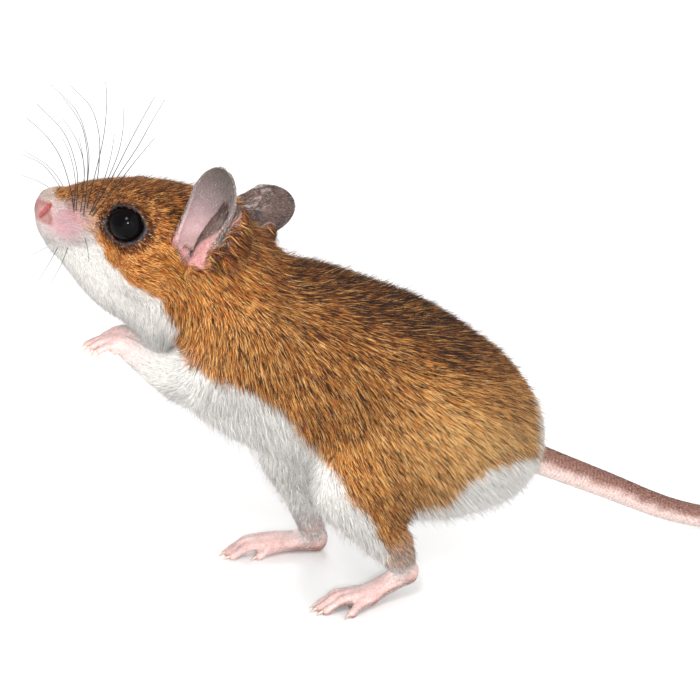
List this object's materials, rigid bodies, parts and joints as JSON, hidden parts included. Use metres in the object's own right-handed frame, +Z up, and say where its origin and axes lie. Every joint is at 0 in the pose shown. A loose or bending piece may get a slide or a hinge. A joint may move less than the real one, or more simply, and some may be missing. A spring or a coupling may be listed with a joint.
{
  "type": "field mouse",
  "caption": "Life-size still model of a long-tailed field mouse, reared on its hind feet with its tail along the floor, for display, teaching or a scene.",
  "frame": {"origin": "middle of the bounding box, on the floor that the feet and tail rest on", "axes": "+Z up; the mouse faces -X with its tail towards +X; its left side is towards -Y"},
  "size_m": [0.1584, 0.0324, 0.073],
  "materials": {
    "coat": "short sleek fur, tan above with dark tips, white below",
    "bare_skin": "bare pink skin with fine pale hairs",
    "ear_skin": "thin grey-brown skin with very short hairs",
    "tail_skin": "ringed skin, dark above and pale below",
    "eye": "wet glossy black",
    "claw": "translucent pale horn"
  },
  "bodies": {
    "root": {"head": "coat", "lower_jaw": "coat", "neck": "coat", "trunk": "coat", "upper_arm_left": "coat", "upper_arm_right": "coat", "forearm_left": "coat", "forearm_right": "coat", "thigh_left": "coat", "thigh_right": "coat", "shank_left": "coat", "shank_right": "coat", "nose": "bare_skin", "hand_left": "bare_skin", "hand_right": "bare_skin", "foot_left": "bare_skin", "foot_right": "bare_skin", "ear_left": "ear_skin", "ear_right": "ear_skin", "tail_1": "tail_skin", "tail_2": "tail_skin", "tail_3": "tail_skin", "tail_4": "tail_skin", "eye_left": "eye", "eye_right": "eye", "claw_foot_left_1": "claw", "claw_foot_left_2": "claw", "claw_foot_left_3": "claw", "claw_foot_left_4": "claw", "claw_foot_left_5": "claw", "claw_foot_right_1": "claw", "claw_foot_right_2": "claw", "claw_foot_right_3": "claw", "claw_foot_right_4": "claw", "claw_foot_right_5": "claw", "claw_hand_left_2": "claw", "claw_hand_left_3": "claw", "claw_hand_left_4": "claw", "claw_hand_left_5": "claw", "claw_hand_right_2": "claw", "claw_hand_right_3": "claw", "claw_hand_right_4": "claw", "claw_hand_right_5": "claw"}
  },
  "joints": []
}
